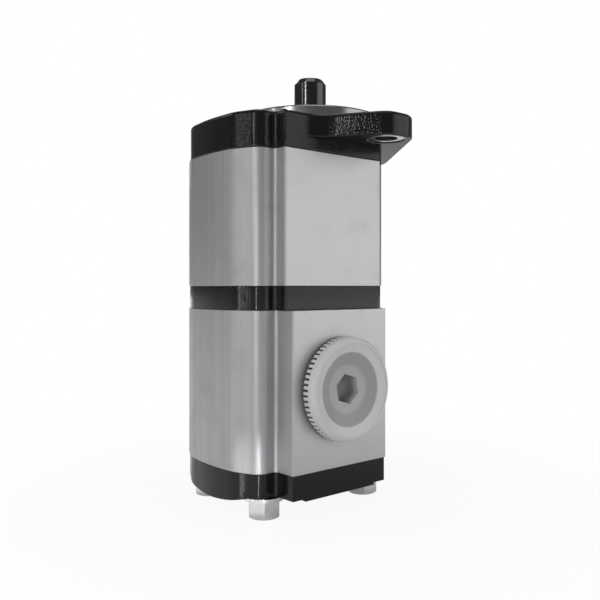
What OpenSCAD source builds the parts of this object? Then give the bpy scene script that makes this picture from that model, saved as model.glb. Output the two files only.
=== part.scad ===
// Tandem external gear pump with a two-bolt flange, clamped by four long studs.
// Origin: drive shaft axis on the mounting face. +Z points out of the shaft end,
// +Y away from the inlet port, +X away from the idler gears.

/* [Stack heights] */
// Thickness of the front flange over the body
flange_t = 22.5; // [20:0.5:30]
// Thickness of the two flange ears
ear_t = 14.5; // [11:0.5:18]
// Height of the front gear body
front_body_h = 82; // [78:0.5:110]
// Thickness of the centre plate
plate_t = 14.5; // [13:0.5:24]
// Height of the rear gear body
rear_body_h = 96.5; // [90:0.5:120]
// Thickness of the rear cover at its middle
cover_t = 16.5; // [14:0.5:26]
// How far the crowned back of the cover stands out at its middle
crown_rise = 3; // [1:0.5:4]
// How far the nut seats stand back from the middle of the cover
seat_step = 1.5; // [0.5:0.1:3]
// Length of each bearing block along the shaft
block_len = 28; // [24:0.5:30]

/* [Case outline] */
// Half the length of the case, at the crown of its ends
case_half_len = 61.5; // [60:0.5:68]
// Half the width of the case over its corner lobes
case_half_w = 41; // [40:0.5:46]
// Radius of the crowned ends
end_crown_r = 125; // [110:5:140]
// Radius where the crowned end turns into the shoulder
shoulder_r = 28; // [20:1:32]
// Radius of the corner lobes
lobe_r = 9; // [6:0.5:9]
// How far from the centre line the shoulder starts
shoulder_y = 23.5; // [20:0.5:26]
// Slant of the shoulder from the long ends, in degrees
shoulder_angle = 25; // [22:1:27]
// Half the length of the flat port pads
pad_half_len = 39.5; // [34:0.5:41]
// How far the plain port pads stand out from the lobes
pad_rise = 9; // [5:0.5:10]
// Half the length of the deep inlet pad at its face
inlet_pad_half_len = 38.5; // [34:0.5:41]
// How far the inlet pad stands out from the lobes
inlet_pad_rise = 15; // [11:0.5:18]
// How much wider each port pad is at its foot, each side
pad_draft = 1; // [0.5:0.1:2.5]
// How far the cover and the centre plate stand inside the case outline
plate_inset = 0.6; // [0:0.1:1]

/* [Flange] */
// Diameter of the centring pilot
pilot_d = 101.6; // [96:0.1:104]
// Height of the pilot above the mounting face
pilot_h = 9; // [7:0.1:12]
// Distance between the two mounting bolts
bolt_pitch = 146; // [140:0.5:152]
// Diameter of the two mounting holes
mount_hole_d = 14.3; // [11:0.1:17]
// Diameter of the machined seat round each mounting hole
spot_face_d = 24; // [20:0.5:25]
// From the middle of each mounting hole to the tip of its ear
ear_end = 13.5; // [13:0.5:18]
// Half the width of the flat ear tips before rounding
ear_tip_half_w = 10.5; // [9:0.5:14]
// Radius of the ear tip corners
ear_tip_r = 13; // [8:0.5:14]
// Half the width of the flange across the pilot before rounding
waist_half_w = 71; // [68:0.5:76]
// Radius of the blend between the ears and the port pads
ear_blend_r = 24; // [8:1:24]

/* [Gears] */
// Module of the spur gears
gear_module = 3.5; // [3.45:0.01:3.55]
// Teeth on every gear
gear_teeth = 12; // [12:1:12]
// Pressure angle in degrees
pressure_angle = 25; // [24:0.5:27]
// Thinning of each tooth for backlash
backlash = 0.1; // [0.06:0.01:0.2]
// Gap between the tooth tips and the gear chamber
tip_gap = 0.3; // [0.2:0.05:0.5]
// Gap at each flat running face
face_gap = 0.05; // [0.02:0.01:0.1]

/* [Shafts] */
// Diameter of the drive end
shaft_d = 22.225; // [20:0.025:23]
// How far the drive end reaches above the mounting face
shaft_reach = 38; // [34:0.5:46]
// Diameter of the bearing journals
journal_d = 24; // [23:0.1:25]
// Radial clearance of journals in their bushes
journal_gap = 0.03; // [0.02:0.01:0.08]
// Wall of the bearing bushes
bush_wall = 2; // [1.5:0.1:2.5]
// Width of the key slot
keyway_w = 6.35; // [5:0.05:7]
// Length of the key slot
keyway_len = 22; // [16:1:25]

/* [Fasteners] */
// Thread diameter of the clamping studs
stud_d = 12; // [10:0.5:12]
// Stud distance from the case centre, along the case
stud_x = 41; // [40:0.5:42]
// Distance from the side of the case in to the axis of a clamping stud
stud_edge = 10; // [9:0.5:10.5]
// Clearance between a stud and its holes, on the diameter
stud_play = 1; // [0.6:0.1:1.4]
// Nut size across its flats
nut_af = 18; // [17:0.5:19]
// Nut height
nut_h = 10.8; // [8:0.1:12]
// Washer outer diameter
washer_d = 24; // [20:0.5:24]
// Washer thickness
washer_t = 2.5; // [1.5:0.1:3]
// Dowel pin diameter
dowel_d = 5; // [4:0.5:5.5]
// Dowel distance from the case centre
dowel_x = 54.5; // [53:0.5:55]

/* [Ports] */
// Tapping diameter of the inlet port
inlet_d = 38.95; // [34:0.05:42]
// Depth of the inlet thread
inlet_depth = 20; // [17:0.5:24]
// Bore of the inlet passage behind the thread
inlet_passage_d = 28; // [20:1:32]
// Tapping diameter of each outlet port
outlet_d = 24.12; // [20:0.02:28]
// Depth of each outlet thread
outlet_depth = 16; // [12:0.5:18]
// Bore of each outlet passage behind the thread
outlet_passage_d = 16; // [12:0.5:18]
// Width of the suction gallery that joins both gear sets
gallery_w = 11; // [8:0.5:11]

/* [Inlet plug] */
// Diameter of the ribbed head
plug_head_d = 64; // [56:0.5:68]
// Thickness of the head
plug_head_t = 9; // [7.5:0.5:14]
// Number of grip ribs
plug_ribs = 60; // [40:2:72]
// How far the grip ribs reach up the side of the head
rib_h = 3.5; // [2:0.5:5]
// Depth of the grooves between the ribs
rib_depth = 0.9; // [0.5:0.1:1.2]
// Length of the plug inside the port
plug_shank_len = 14; // [11:0.5:16]
// Diameter of the dish in the head
dish_d = 46; // [38:0.5:48]
// Depth of the dish
dish_depth = 3; // [1.5:0.25:4]
// Diameter of the flat floor of the dish
dish_floor_d = 30; // [26:0.5:32]
// Hexagon socket across its flats
socket_af = 16.5; // [12:0.5:18]
// Depth of the hexagon socket from the dish floor
socket_depth = 11; // [6:0.5:14]
// Thickness of the sealing ring under the head
plug_seal_t = 1.5; // [1:0.1:2.5]

/* [Seals] */
// Outer diameter of the shaft seal
shaft_seal_d = 40; // [38:0.5:42]
// Height of the shaft seal
shaft_seal_h = 8; // [6:0.5:9]
// Radial width of the gaskets between the case pieces
case_seal_w = 2.2; // [1.8:0.1:2.4]
// Depth of the gasket grooves
case_seal_h = 1.8; // [1:0.1:2.5]
// Radial width of the seals on the bearing blocks
block_seal_w = 2.2; // [1.8:0.1:2.6]
// Depth of the seal grooves on the bearing blocks
block_groove_h = 2.6; // [2:0.1:3.5]

/* [Hidden] */
$fn = 96;

// Overrun of cutting tools past the faces that they cut
cut = 1;
// Depth of the machined seats on the backs of the ears
spot_face_depth = 0.6;
ear_reach = bolt_pitch / 2 + ear_end;
// Stud distance from the case centre, across the case
stud_y = case_half_w - stud_edge;
// Slip between two pieces of the same assembly that seat in each other
seat_gap = 0.02;
// How much an arc overlaps the flats that it blends into
arc_lap = 0.002;

// Heights of the joints in the stack, from the mounting face down
body_top = -flange_t;
plate_top = body_top - front_body_h;
rear_top = plate_top - plate_t;
cover_top = rear_top - rear_body_h;
cover_bottom = cover_top - cover_t;
nut_seat = cover_bottom + seat_step;
crown_bottom = cover_bottom - crown_rise;
// Radius of the crowned back of the cover, along the case
crown_r = 122;
nut_top = nut_seat - washer_t;
stack_bottom = nut_top - nut_h;

// Gears
centre_dist = gear_module * gear_teeth;
case_x = -centre_dist / 2;
idler_x = -centre_dist;
pitch_r = centre_dist / 2;
tip_r = pitch_r + gear_module;
root_r = pitch_r - 1.25 * gear_module;
base_r = pitch_r * cos(pressure_angle);
tooth_pitch = 360 / gear_teeth;
chamber_r = tip_r + tip_gap;
front_gear_w = front_body_h - 2 * block_len;
rear_gear_w = rear_body_h - 2 * block_len;
front_gear_mid = body_top - front_body_h / 2;
rear_gear_mid = rear_top - rear_body_h / 2;
flank_steps = 6;

// Shafts and bearings
journal_r = journal_d / 2;
bush_r = journal_r + bush_wall;
block_r = chamber_r - face_gap;
block_h = block_len - 2 * face_gap;
shaft_end_gap = 1;
shaft_chamfer_r = 2.5;
shaft_chamfer_h = 3.3;
journal_step_z = 6;
centre_drill_r = 2.5;
centre_drill_depth = 14;
keyway_depth = 3.4;
keyway_end_gap = 6;
keyway_top = shaft_reach - keyway_end_gap;
// Direction of the key slot from +X, in degrees
keyway_turn = 67.5;
stub_r = 10;
stub_root_r = 8;
stub_teeth = 6;
stub_tooth_w = 5;
stub_slip = 0.1;
sleeve_r = 14.5;
sleeve_margin = 1;
sleeve_play = 0.8;
plate_bore_r = sleeve_r + sleeve_play;
stub_gap = 1.5;

// Shaft seal
seal_bore_r = shaft_seal_d / 2;
seal_cover = 5;
seal_bottom = pilot_h - shaft_seal_h - seal_cover;
seal_top = seal_bottom + shaft_seal_h;
lip_gap = 0.05;
ring_t = 1.75;
ring_depth = 1.4;
ring_play = 0.1;
ring_bottom = seal_top + ring_play;
flange_bore_r = journal_r + 1;
spring_wire_r = 0.8;
spring_ring_r = journal_r + 3.2;
spring_z = seal_bottom + 2.6;

// Case gaskets run round both chambers
gasket_margin = 1.1;
gasket_in_r = chamber_r + gasket_margin;
gasket_out_r = gasket_in_r + case_seal_w;

// Studs and dowels
stud_hole_r = (stud_d + stud_play) / 2;
stud_r = stud_d / 2;
stud_roof = 5.5;
stud_grip = flange_t - stud_roof;
stud_end_gap = 0.8;
dowel_grip = 6;

// Port faces and gallery
pad_y = case_half_w + pad_rise;
inlet_pad_y = case_half_w + inlet_pad_rise;
gallery_lip = 0.8;
gallery_y = chamber_r - gallery_w / 2 - gallery_lip;
plug_face_y = -inlet_pad_y - plug_seal_t;
plug_thread_gap = 0.1;
plug_shank_r = inlet_d / 2 - plug_thread_gap;
plug_seal_w = 4;
plug_seal_r = plug_shank_r + plug_seal_w;
plug_edge_r = 2;

// Colours
black_paint = [0.09, 0.09, 0.10];
silver = [0.74, 0.75, 0.77];
steel = [0.45, 0.46, 0.48];
zinc = [0.80, 0.80, 0.82];
bronze = [0.66, 0.48, 0.26];
block_metal = [0.62, 0.63, 0.60];
rubber = [0.06, 0.06, 0.06];
backup_white = [0.88, 0.87, 0.82];
plug_white = [0.83, 0.83, 0.81];

// Vectors for the outline maker
function unit(v) = v / norm(v);
function at(path, i) = let (p = path[(i + len(path)) % len(path)]) [p[0], p[1]];
function to_last(path, i) = unit(at(path, i - 1) - at(path, i));
function to_next(path, i) = unit(at(path, i + 1) - at(path, i));
function half_angle(path, i) = acos(to_last(path, i) * to_next(path, i)) / 2;
function runout(path, i) = path[i][2] / tan(half_angle(path, i));
function tangent_in(path, i) = at(path, i) + to_last(path, i) * runout(path, i);
function tangent_out(path, i) = at(path, i) + to_next(path, i) * runout(path, i);
function bisector(path, i) = unit(to_last(path, i) + to_next(path, i));
function arc_centre(path, i) = at(path, i) + bisector(path, i) * path[i][2] / sin(half_angle(path, i));
function is_outer(path, i) = cross(to_next(path, i), to_last(path, i)) > 0;

// Web of height h that rounds the hollow corner between two flats, along the unit vectors a and b
module inner_corner(corner, a, b, r, h) {
    half = acos(a * b) / 2;
    middle = unit(a + b);
    run = r / tan(half);
    difference() {
        linear_extrude(h) polygon([corner + a * run, corner - middle * cut, corner + b * run]);
        translate(concat(corner + middle * r / sin(half), -cut)) cylinder(r = r + arc_lap, h = h + 2 * cut);
    }
}

// Round piece of height h on corner i of a path, reaching back under both flats
module outer_corner(path, i, h) {
    r = path[i][2];
    depth = min(r / 2, 2);
    back = 0.3 * runout(path, i);
    centre = arc_centre(path, i);
    out_a = unit(tangent_in(path, i) - centre);
    out_b = unit(tangent_out(path, i) - centre);
    foot_a = tangent_in(path, i) + to_last(path, i) * back;
    foot_b = tangent_out(path, i) + to_next(path, i) * back;
    intersection() {
        linear_extrude(h) polygon([
            at(path, i) - bisector(path, i) * cut / sin(half_angle(path, i)),
            foot_b + out_b * cut, foot_b - out_b * depth,
            foot_a - out_a * depth, foot_a + out_a * cut
        ]);
        translate(centre) cylinder(r = r + arc_lap, h = h);
    }
}

// Prism of height h over the outline through [x, y, corner radius], counter-clockwise, with true arcs
module rounded_prism(path, h) {
    union() {
        linear_extrude(h) polygon([
            for (i = [0 : len(path) - 1])
                each is_outer(path, i) ? [tangent_in(path, i), tangent_out(path, i)] : [at(path, i)]
        ]);
        for (i = [0 : len(path) - 1])
            if (is_outer(path, i)) outer_corner(path, i, h);
            else inner_corner(at(path, i), to_last(path, i), to_next(path, i), path[i][2], h);
    }
}

// Quarter of the case outline from the crown of the end to the lobe, as [x, y, radius]
end_angle = 5.5;
crown_x = case_half_len + end_crown_r * (1 / cos(end_angle) - 1);
shoulder_x = crown_x - shoulder_y * tan(end_angle);
valley_r = 2.4;
pad_edge_r = 1;
function lobe_x(inset) = shoulder_x - inset - (case_half_w - inset - shoulder_y) * tan(shoulder_angle);
function end_points(inset) = [
    [shoulder_x - inset, -shoulder_y, shoulder_r],
    [crown_x - inset, 0, end_crown_r],
    [shoulder_x - inset, shoulder_y, shoulder_r]
];
function pad_points(half, rise, inset) = [
    [half + pad_draft - inset, case_half_w - inset, valley_r],
    [half - inset, case_half_w + rise - inset, pad_edge_r]
];
function lobe_point(inset) = [[lobe_x(inset), case_half_w - inset, lobe_r]];
function flip_x(points) = [for (i = [len(points) - 1 : -1 : 0]) [-points[i][0], points[i][1], points[i][2]]];
function flip_y(points) = [for (i = [len(points) - 1 : -1 : 0]) [points[i][0], -points[i][1], points[i][2]]];
function case_path(half, rise, inset) =
    let (far_side = concat(lobe_point(inset), pad_points(pad_half_len, pad_rise, inset)))
    let (near_side = concat(lobe_point(inset), pad_points(half, rise, inset)))
    concat(
        end_points(inset), far_side, flip_x(far_side),
        flip_x(end_points(inset)), flip_x(flip_y(near_side)), flip_y(near_side)
    );

// Slab from z up with the outline of the front body, the centre plate and the case part of the flange
module front_slab(z, h, inset = 0) {
    translate([case_x, 0, z]) rounded_prism(case_path(pad_half_len, pad_rise, inset), h);
}

// Slab from z up with the outline of the rear body and the cover, with the deep inlet pad
module rear_slab(z, h, inset = 0) {
    translate([case_x, 0, z])
        rounded_prism(case_path(inlet_pad_half_len, inlet_pad_rise, inset), h);
}

// Both ears and the waist round the pilot, blended into the port pads on the idler side
module ear_plate(z, h) {
    waist_r = 30;
    ear_slope = (waist_half_w - ear_tip_half_w) / ear_reach;
    translate([0, 0, z]) {
        rounded_prism([
            [waist_half_w, 0, waist_r],
            [ear_tip_half_w, ear_reach, ear_tip_r],
            [-ear_tip_half_w, ear_reach, ear_tip_r],
            [-waist_half_w, 0, waist_r],
            [-ear_tip_half_w, -ear_reach, ear_tip_r],
            [ear_tip_half_w, -ear_reach, ear_tip_r]
        ], h);
        for (side = [-1, 1])
            inner_corner([ear_slope * pad_y - waist_half_w, side * pad_y], [-1, 0],
                unit([ear_slope, side]), ear_blend_r, h);
    }
}

// Children repeated at both gear axes
module at_gears() {
    for (x = [0, idler_x]) translate([x, 0, 0]) children();
}

// Children repeated at the four stud axes
module at_studs() {
    for (sx = [-1, 1], sy = [-1, 1]) translate([case_x + sx * stud_x, sy * stud_y, 0]) children();
}

// Children repeated at the two dowel axes
module at_dowels() {
    for (sx = [-1, 1]) translate([case_x + sx * dowel_x, 0, 0]) children();
}

// Cylinder of height h standing on z
module rod(r, z, h) {
    translate([0, 0, z]) cylinder(r = r, h = h);
}

// Ring shape round both gear axes at radius r
module racetrack(r) {
    at_gears() circle(r = r);
    translate([idler_x, -r]) square([centre_dist, 2 * r]);
}

// Gasket ring that stands on z
module gasket(z, h, slip = 0) {
    translate([0, 0, z]) linear_extrude(h) difference() {
        racetrack(gasket_out_r - slip);
        racetrack(gasket_in_r + slip);
    }
}

// Holes that every piece of the stack shares
module stack_holes(z, h) {
    at_studs() rod(stud_hole_r, z - cut, h + 2 * cut);
}

// Suction gallery beside the gear chamber
module gallery(z, h) {
    translate([case_x, -gallery_y, z]) cylinder(r = gallery_w / 2, h = h);
    translate([case_x - gallery_w / 2, -gallery_y, z]) cube([gallery_w, gallery_y, h]);
}

// Port drilled into the case from its face at y = face, towards the gear chamber
module port(face, z, thread_d, depth, passage_d) {
    side = sign(face);
    translate([case_x, face + side * cut, z]) rotate([side * 90, 0, 0]) {
        cylinder(d = thread_d, h = depth + cut);
        cylinder(d = passage_d, h = abs(face) - chamber_r / 3);
    }
}

// Gear chamber bores through a body
module chamber(z, h) {
    at_gears() rod(chamber_r, z - cut, h + 2 * cut);
}

// Front flange with both ears, the pilot and the seat of the shaft seal
module front_flange() {
    color(black_paint) difference() {
        union() {
            ear_plate(-ear_t, ear_t);
            front_slab(-flange_t, flange_t);
            pilot_edge = 1;
            rod(pilot_d / 2, -cut, pilot_h - pilot_edge + cut);
            translate([0, 0, pilot_h - pilot_edge])
                cylinder(r1 = pilot_d / 2, r2 = pilot_d / 2 - pilot_edge, h = pilot_edge);
        }
        rod(flange_bore_r, -flange_t - cut, flange_t + pilot_h + 2 * cut);
        rod(seal_bore_r, seal_bottom, pilot_h - seal_bottom + cut);
        rod(seal_bore_r + ring_depth, ring_bottom, ring_t + ring_play);
        for (side = [-1, 1]) translate([0, side * bolt_pitch / 2, 0]) {
            rod(mount_hole_d / 2, -ear_t - cut, ear_t + 2 * cut);
            rod(spot_face_d / 2, -ear_t - cut, cut + spot_face_depth);
        }
        at_studs() rod(stud_r + seat_gap, body_top - cut, stud_grip + cut);
        at_dowels() rod(dowel_d / 2 + seat_gap, body_top - cut, dowel_grip + cut);
        gasket(body_top, case_seal_h);
    }
}

// Extruded front body with the gear chamber, suction gallery and outlet port
module front_body() {
    color(silver) difference() {
        front_slab(plate_top, front_body_h);
        chamber(plate_top, front_body_h);
        gallery(plate_top - cut, front_body_h - block_len / 2);
        stack_holes(plate_top, front_body_h);
        at_dowels() {
            rod(dowel_d / 2 + seat_gap, body_top - dowel_grip, dowel_grip + cut);
            rod(dowel_d / 2 + seat_gap, plate_top - cut, dowel_grip + cut);
        }
        port(pad_y, front_gear_mid, outlet_d, outlet_depth, outlet_passage_d);
    }
}

// Plate between the two gear sets, with room for the shaft coupling
module centre_plate() {
    color(black_paint) difference() {
        front_slab(rear_top, plate_t, plate_inset);
        rod(plate_bore_r, rear_top - cut, plate_t + 2 * cut);
        gallery(rear_top - cut, plate_t + 2 * cut);
        stack_holes(rear_top, plate_t);
        at_dowels() rod(dowel_d / 2 + seat_gap, rear_top - cut, plate_t + 2 * cut);
        gasket(plate_top - case_seal_h, case_seal_h + cut);
        gasket(rear_top - cut, case_seal_h + cut);
    }
}

// Extruded rear body with the deep inlet pad
module rear_body() {
    color(silver) difference() {
        rear_slab(cover_top, rear_body_h);
        chamber(cover_top, rear_body_h);
        gallery(cover_top + block_len / 2, rear_body_h - block_len / 2 + cut);
        stack_holes(cover_top, rear_body_h);
        at_dowels() {
            rod(dowel_d / 2 + seat_gap, rear_top - dowel_grip, dowel_grip + cut);
            rod(dowel_d / 2 + seat_gap, cover_top - cut, dowel_grip + cut);
        }
        port(-inlet_pad_y, rear_gear_mid, inlet_d, inlet_depth, inlet_passage_d);
        port(pad_y, rear_gear_mid, outlet_d, outlet_depth, outlet_passage_d);
    }
}

// Rear cover, a little thicker between the four nut seats
module rear_cover() {
    washer_margin = 0.5;
    seat_margin = 0.3;
    middle_w = 2 * (stud_x - washer_d / 2 - washer_margin);
    color(black_paint) difference() {
        union() {
            rear_slab(nut_seat, cover_top - nut_seat, plate_inset);
            intersection() {
                rear_slab(cover_bottom, cover_t, plate_inset);
                translate([case_x - middle_w / 2, -2 * case_half_w, cover_bottom])
                    cube([middle_w, 4 * case_half_w, cover_t]);
            }
            intersection() {
                rear_slab(crown_bottom, cover_top - crown_bottom, plate_inset);
                translate([case_x, 0, crown_bottom + crown_r]) rotate([0, 90, 0])
                    cylinder(r = crown_r, h = 4 * case_half_len, center = true);
            }
        }
        at_studs() rod(washer_d / 2 + seat_margin, crown_bottom - cut, nut_seat - crown_bottom + cut);
        stack_holes(crown_bottom, cover_top - crown_bottom);
        at_dowels() rod(dowel_d / 2 + seat_gap, cover_top - dowel_grip, dowel_grip + cut);
        gasket(cover_top - case_seal_h, case_seal_h + cut);
    }
}

// Involute gear outline with one tooth centred on +X
function involute(r) = let (a = acos(min(1, base_r / r))) tan(a) - a * PI / 180;
function half_tooth(r) =
    (PI * gear_module / 2 - backlash) / (2 * pitch_r) * 180 / PI
    + (involute(pitch_r) - involute(r)) * 180 / PI;
function flank_r(i) = base_r + (tip_r - base_r) * pow(i / flank_steps, 1.5);
function polar(r, a) = [r * cos(a), r * sin(a)];
function tooth(a) = concat(
    [polar(root_r, a - half_tooth(base_r))],
    [for (i = [0 : flank_steps]) polar(flank_r(i), a - half_tooth(flank_r(i)))],
    [for (i = [flank_steps : -1 : 0]) polar(flank_r(i), a + half_tooth(flank_r(i)))],
    [polar(root_r, a + half_tooth(base_r))]
);

// Gear of width w centred on height z
module gear(z, w, phase) {
    translate([0, 0, z - w / 2]) linear_extrude(w)
        polygon([for (i = [0 : gear_teeth - 1]) each tooth(phase + i * tooth_pitch)]);
}

// Splined stub that fits the coupling sleeve
module spline(z, h, slip = 0) {
    rod(stub_root_r + slip, z, h);
    translate([0, 0, z]) linear_extrude(h) intersection() {
        circle(r = stub_r + slip);
        for (i = [0 : stub_teeth / 2 - 1]) rotate(i * 360 / stub_teeth)
            square([2 * stub_r + cut, stub_tooth_w + 2 * slip], center = true);
    }
}

// Drive shaft with the front drive gear cut on it
module drive_shaft() {
    gear_w = front_gear_w - 2 * face_gap;
    shaft_bottom = plate_top + shaft_end_gap;
    stub_bottom = plate_top - plate_t / 2 + stub_gap / 2;
    color(steel) difference() {
        union() {
            translate([0, 0, shaft_reach - shaft_chamfer_h])
                cylinder(r1 = shaft_d / 2, r2 = shaft_d / 2 - shaft_chamfer_r, h = shaft_chamfer_h);
            rod(shaft_d / 2, journal_step_z, shaft_reach - shaft_chamfer_h - journal_step_z);
            rod(journal_r, shaft_bottom, journal_step_z - shaft_bottom);
            gear(front_gear_mid, gear_w, 0);
            spline(stub_bottom, shaft_bottom - stub_bottom + cut);
        }
        rod(centre_drill_r, shaft_reach - centre_drill_depth, centre_drill_depth + cut);
        translate([0, 0, shaft_reach - centre_drill_r])
            cylinder(r1 = centre_drill_r, r2 = 2 * centre_drill_r + cut, h = centre_drill_r + cut);
        keyway();
    }
}

// Round-ended key slot in the drive end
module keyway() {
    slot_floor = shaft_d / 2 - keyway_depth;
    half_run = keyway_len / 2 - keyway_w / 2;
    rotate(keyway_turn - 90) translate([0, slot_floor, keyway_top - keyway_len / 2]) rotate([-90, 0, 0]) {
        for (side = [-1, 1])
            translate([0, side * half_run, 0]) cylinder(d = keyway_w, h = keyway_depth + cut);
        translate([-keyway_w / 2, -half_run, 0]) cube([keyway_w, 2 * half_run, keyway_depth + cut]);
    }
}

// Idler gear with a journal at each end, turned half a tooth to mesh
module idler(z_top, z_bottom, z_mid, w) {
    color(steel) translate([idler_x, 0, 0]) {
        rod(journal_r, z_bottom + shaft_end_gap, z_top - z_bottom - 2 * shaft_end_gap);
        gear(z_mid, w - 2 * face_gap, tooth_pitch / 2);
    }
}

// Front idler gear
module front_driven_gear() {
    idler(body_top, plate_top, front_gear_mid, front_gear_w);
}

// Rear idler gear
module rear_driven_gear() {
    idler(rear_top, cover_top, rear_gear_mid, rear_gear_w);
}

// Rear drive gear with the splined stub that the coupling turns
module rear_drive_gear() {
    journal_top = rear_top - shaft_end_gap;
    stub_top = rear_top + plate_t / 2 - stub_gap / 2;
    color(steel) {
        rod(journal_r, cover_top + shaft_end_gap, journal_top - cover_top - shaft_end_gap);
        gear(rear_gear_mid, rear_gear_w - 2 * face_gap, 0);
        spline(journal_top - cut, stub_top - journal_top + cut);
    }
}

// Splined sleeve that joins the two drive shafts inside the centre plate
module shaft_coupling() {
    color(steel) difference() {
        rod(sleeve_r, rear_top + sleeve_margin, plate_t - 2 * sleeve_margin);
        spline(rear_top, plate_t, stub_slip);
    }
}

// Figure-of-eight bearing block that stands on z, with its seal groove at the top or the bottom
module block(z, groove_at_top) {
    groove_z = groove_at_top ? z + block_h - block_groove_h : z - cut;
    color(block_metal) difference() {
        at_gears() rod(block_r, z, block_h);
        at_gears() rod(bush_r, z - cut, block_h + 2 * cut);
        translate([0, 0, groove_z]) linear_extrude(block_groove_h + cut) three_shape(0);
        relief_pockets(groove_at_top ? z : z + block_h);
    }
}

// Relief pockets beside the gear mesh, in the block face at height z
module relief_pockets(z) {
    pocket = [4, 5];
    pocket_depth = 1.5;
    pocket_y = 8;
    for (side = [-1, 1])
        translate([case_x - pocket[0] / 2, side * pocket_y - pocket[1] / 2, z - pocket_depth])
            cube([pocket[0], pocket[1], 2 * pocket_depth]);
}

// Pressure seal shape round the outlet side of both journals
module three_shape(slip) {
    seal_margin = 5.4;
    seal_in_r = bush_r + seal_margin;
    seal_start_y = -4;
    intersection() {
        difference() {
            at_gears() circle(r = seal_in_r + block_seal_w - slip);
            at_gears() circle(r = seal_in_r + slip);
        }
        translate([case_x - 2 * chamber_r, seal_start_y + slip]) square([4 * chamber_r, 2 * chamber_r]);
    }
}

// Two bushes, centred in a block that stands on z
module bushes(z) {
    bush_setback = 1;
    color(bronze) at_gears() difference() {
        rod(bush_r - seat_gap, z + bush_setback, block_h - 2 * bush_setback);
        rod(journal_r + journal_gap, z, block_h);
    }
}

// Lower faces of the four blocks
front_upper_z = body_top - block_len + face_gap;
front_lower_z = plate_top + face_gap;
rear_upper_z = rear_top - block_len + face_gap;
rear_lower_z = cover_top + face_gap;
backup_h = 0.8;

module front_upper_block() { block(front_upper_z, true); }
module front_lower_block() { block(front_lower_z, false); }
module rear_upper_block() { block(rear_upper_z, true); }
module rear_lower_block() { block(rear_lower_z, false); }

module front_upper_bushes() { bushes(front_upper_z); }
module front_lower_bushes() { bushes(front_lower_z); }
module rear_upper_bushes() { bushes(rear_upper_z); }
module rear_lower_bushes() { bushes(rear_lower_z); }

// Rubber seal in the outer part of a block's groove
module block_seal(z, groove_at_top) {
    seal_z = groove_at_top ? z + block_h - block_groove_h + backup_h : z;
    color(rubber) translate([0, 0, seal_z]) linear_extrude(block_groove_h - backup_h) three_shape(seat_gap);
}

// Stiff backup strip at the bottom of a block's groove
module block_backup(z, groove_at_top) {
    strip_z = groove_at_top ? z + block_h - block_groove_h : z + block_groove_h - backup_h;
    color(backup_white) translate([0, 0, strip_z]) linear_extrude(backup_h) three_shape(seat_gap);
}

module front_upper_block_seal() { block_seal(front_upper_z, true); }
module front_lower_block_seal() { block_seal(front_lower_z, false); }
module rear_upper_block_seal() { block_seal(rear_upper_z, true); }
module rear_lower_block_seal() { block_seal(rear_lower_z, false); }

module front_upper_backup() { block_backup(front_upper_z, true); }
module front_lower_backup() { block_backup(front_lower_z, false); }
module rear_upper_backup() { block_backup(rear_upper_z, true); }
module rear_lower_backup() { block_backup(rear_lower_z, false); }

module flange_gasket() { color(rubber) gasket(body_top, case_seal_h, seat_gap); }
module plate_upper_gasket() { color(rubber) gasket(plate_top - case_seal_h, case_seal_h, seat_gap); }
module plate_lower_gasket() { color(rubber) gasket(rear_top, case_seal_h, seat_gap); }
module cover_gasket() { color(rubber) gasket(cover_top - case_seal_h, case_seal_h, seat_gap); }

// Radial lip seal pressed into the pilot
module shaft_lip_seal() {
    shell = 1.5;
    lip_r = journal_r + lip_gap;
    lip_w = 0.6;
    neck_r = journal_r + 0.8;
    collar_r = spring_ring_r + spring_wire_r + 0.5;
    collar_z = spring_z - spring_wire_r;
    web_z = seal_top - 2 * shell;
    color(rubber) rotate_extrude() difference() {
        polygon([
            [lip_r, spring_z - 1],
            [lip_r + lip_w, spring_z - 2],
            [spring_ring_r - lip_w, spring_z - 2],
            [collar_r, collar_z],
            [collar_r, web_z],
            [seal_bore_r - shell, web_z],
            [seal_bore_r - shell, seal_bottom],
            [seal_bore_r - seat_gap, seal_bottom],
            [seal_bore_r - seat_gap, seal_top],
            [neck_r + lip_w, seal_top],
            [neck_r + lip_w, seal_top - shell],
            [neck_r, spring_z]
        ]);
        translate([spring_ring_r, spring_z]) circle(r = spring_wire_r + seat_gap);
    }
}

// Garter spring inside the lip seal
module lip_seal_spring() {
    color(zinc) rotate_extrude() translate([spring_ring_r, spring_z]) circle(r = spring_wire_r);
}

// Snap ring above the lip seal, open towards the inlet side, with two plier holes
module seal_retaining_ring() {
    ring_out_r = seal_bore_r + ring_depth - ring_play;
    ring_in_r = seal_bore_r - 2.6;
    lug_r = 2.6;
    plier_hole_r = 1;
    gap_angle = 12;
    lug_angle = gap_angle + 6;
    lug_reach = seal_bore_r - lug_r - 0.6;
    module at_lugs() {
        for (side = [-1, 1]) translate(polar(lug_reach, side * lug_angle - 90)) children();
    }
    color(steel) translate([0, 0, ring_bottom + ring_play / 2]) linear_extrude(ring_t) difference() {
        union() {
            difference() {
                circle(r = ring_out_r);
                circle(r = ring_in_r);
                rotate(-90)
                    polygon([[0, 0], polar(2 * ring_out_r, -gap_angle), polar(2 * ring_out_r, gap_angle)]);
            }
            at_lugs() circle(r = lug_r);
        }
        at_lugs() circle(r = plier_hole_r);
    }
}

// Four long studs that clamp the stack
module clamp_studs() {
    stud_bottom = stack_bottom + stud_end_gap;
    color(zinc) at_studs() {
        rod(stud_r, stud_bottom + cut, body_top + stud_grip - stud_bottom - 2 * cut);
        translate([0, 0, stud_bottom]) cylinder(r1 = stud_r - cut, r2 = stud_r, h = cut);
        translate([0, 0, body_top + stud_grip - cut]) cylinder(r1 = stud_r, r2 = stud_r - cut, h = cut);
    }
}

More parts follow.
